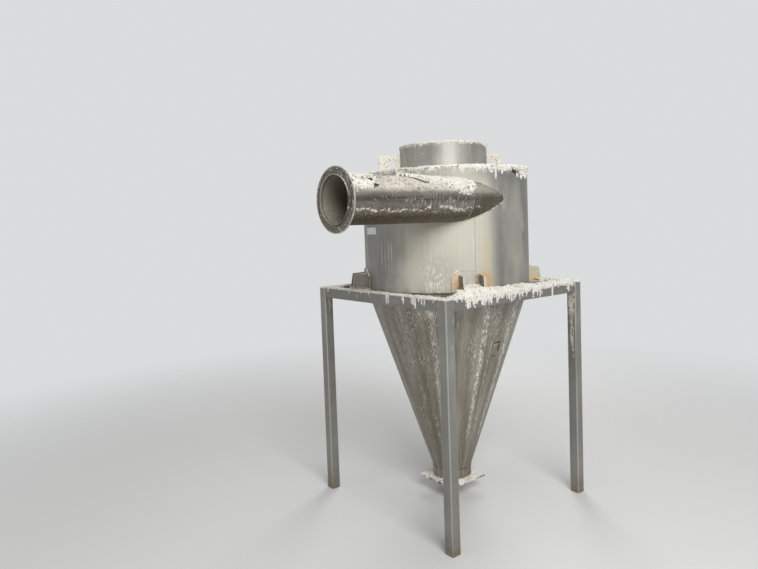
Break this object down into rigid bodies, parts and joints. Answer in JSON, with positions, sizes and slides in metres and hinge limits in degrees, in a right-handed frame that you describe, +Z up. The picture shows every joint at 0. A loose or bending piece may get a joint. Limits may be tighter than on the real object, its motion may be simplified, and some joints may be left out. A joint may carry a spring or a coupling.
{
  "type": "cyclone separator",
  "caption": "Stainless cyclone with a tangential round inlet, flat roof with gas outlet collar and lifting lugs, long cone with a square dust flange, carried by brackets on a square leg stand.",
  "frame": {"origin": "bottom centre of the whole part's box, on the ground", "axes": "+Z up; the stand's sides run along X and Y; the inlet pipe points along -X on the -Y side of the drum; the drum's axis stands at x = 0.26975 m"},
  "size_m": [1.7584, 1.219, 2.296],
  "materials": {
    "stand_steel": "weathered satin",
    "drum_steel": "weathered satin",
    "outlet_steel": "weathered satin",
    "cone_steel": "weathered satin",
    "inlet_steel": "weathered satin",
    "plate_steel": "weathered satin",
    "bracket_steel": "weathered satin"
  },
  "bodies": {
    "root": {"leg_front_left": "stand_steel", "leg_front_right": "stand_steel", "leg_back_left": "stand_steel", "leg_back_right": "stand_steel", "cap_front_left": "stand_steel", "cap_front_right": "stand_steel", "cap_back_left": "stand_steel", "cap_back_right": "stand_steel", "rail_front": "stand_steel", "rail_right": "stand_steel", "rail_back": "stand_steel", "rail_left": "stand_steel", "drum_wall": "drum_steel", "drum_roof": "drum_steel", "gas_outlet_tube": "outlet_steel", "cone_wall": "cone_steel", "dust_neck": "cone_steel", "dust_flange": "plate_steel", "inlet_stub": "inlet_steel", "inlet_pipe": "inlet_steel", "inlet_flange": "plate_steel", "pad_front": "bracket_steel", "pad_right": "bracket_steel", "pad_back": "bracket_steel", "pad_left": "bracket_steel", "gussets_front": "bracket_steel", "gussets_right": "bracket_steel", "gussets_back": "bracket_steel", "gussets_left": "bracket_steel", "base_front": "bracket_steel", "base_right": "bracket_steel", "base_back": "bracket_steel", "base_left": "bracket_steel", "lug_right": "bracket_steel", "lug_left": "bracket_steel"}
  },
  "joints": []
}
